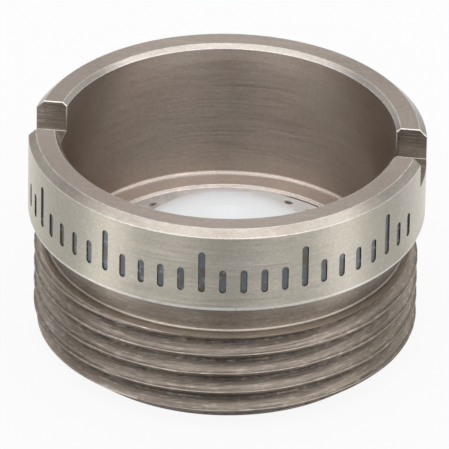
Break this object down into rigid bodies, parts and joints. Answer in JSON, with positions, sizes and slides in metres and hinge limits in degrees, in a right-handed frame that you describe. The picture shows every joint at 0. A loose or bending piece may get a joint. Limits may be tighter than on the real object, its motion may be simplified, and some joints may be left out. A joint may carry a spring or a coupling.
{
  "type": "mounted aspheric lens",
  "caption": "Strongly curved moulded glass asphere glued into a threaded stainless steel cell with a deep cup, spanner slots and a relief neck.",
  "frame": {"origin": "centre of the cell's lower annular face, on the optical axis", "axes": "+Z along the optical axis, from the threaded end to the open cup; +X through the spanner slots"},
  "size_m": [0.0092, 0.0092, 0.0054],
  "materials": {
    "stainless_steel": "turned, with fine circular tool marks and bright deburred edges",
    "lens_glass": "polished, anti-reflection coated",
    "cured_adhesive": "translucent cured resin, slightly mottled, with small voids"
  },
  "bodies": {
    "root": {"housing": "stainless_steel", "aspheric_lens": "lens_glass", "adhesive_ring": "cured_adhesive"}
  },
  "joints": []
}
